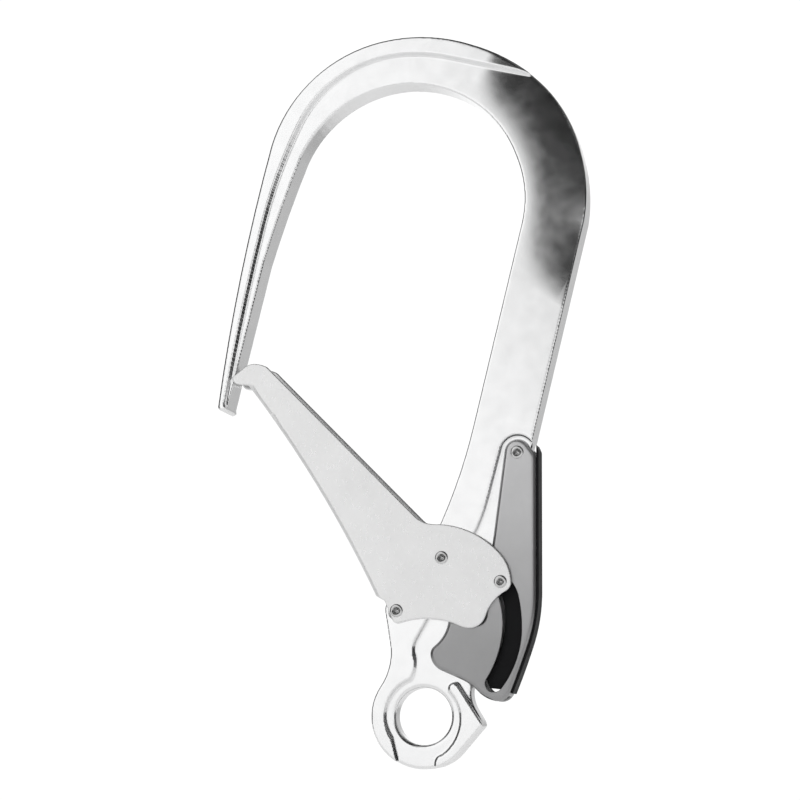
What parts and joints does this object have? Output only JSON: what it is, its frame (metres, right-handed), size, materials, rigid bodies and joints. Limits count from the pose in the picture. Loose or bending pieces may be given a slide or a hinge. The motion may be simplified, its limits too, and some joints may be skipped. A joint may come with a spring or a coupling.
{
  "type": "scaffold hook",
  "caption": "Large double-action scaffold hook: a forged light-alloy hook with a round lanyard eye, a sprung channel gate and a squeeze lever that locks the gate.",
  "frame": {"origin": "centre of the lanyard eye's bore, at mid-thickness", "axes": "+Z along the load line from the eye to the crown, +X from the nose towards the spine, Y is the thickness"},
  "size_m": [0.1748, 0.0216, 0.343],
  "materials": {
    "forged_alloy": "bright satin",
    "gate_plate": "satin",
    "lever_plate": "satin",
    "black_nylon": "fine matt",
    "rivet_steel": "bright",
    "bush_steel": "turned",
    "spring_steel": "drawn wire"
  },
  "bodies": {
    "hook": {"hook_body": "forged_alloy", "gate_spring": "spring_steel", "lever_spring": "spring_steel"},
    "gate": {"gate": "gate_plate", "gate_pivot_rivet": "rivet_steel", "gate_pivot_bush": "bush_steel", "stop_pin_rivet": "rivet_steel", "stop_pin_sleeve": "bush_steel", "lock_stud_front": "rivet_steel", "lock_stud_rear": "rivet_steel"},
    "lever": {"lock_lever": "lever_plate", "lever_insert": "black_nylon", "lever_pivot_rivet": "rivet_steel", "lever_pivot_bush": "bush_steel"}
  },
  "joints": [
    {"name": "gate_pivot", "type": "hinge", "parent": "hook", "child": "gate", "pos_m": [-0.012, 0, 0.048], "axis": [0, 1, 0], "range_deg": [0, 50], "stiffness_Nm_per_rad": 0.15, "springref_deg": -68.75, "deforming": ["gate_spring"]},
    {"name": "lever_squeeze", "type": "hinge", "parent": "hook", "child": "lever", "pos_m": [0.0437, 0, 0.1205], "axis": [0, 1, 0], "range_deg": [0, 3.9], "stiffness_Nm_per_rad": 0.3, "springref_deg": -22.92, "deforming": ["lever_spring"]}
  ],
  "couplings": [
    {"joint": "lever_squeeze", "follows": "gate_pivot", "ratio": 0.078}
  ]
}
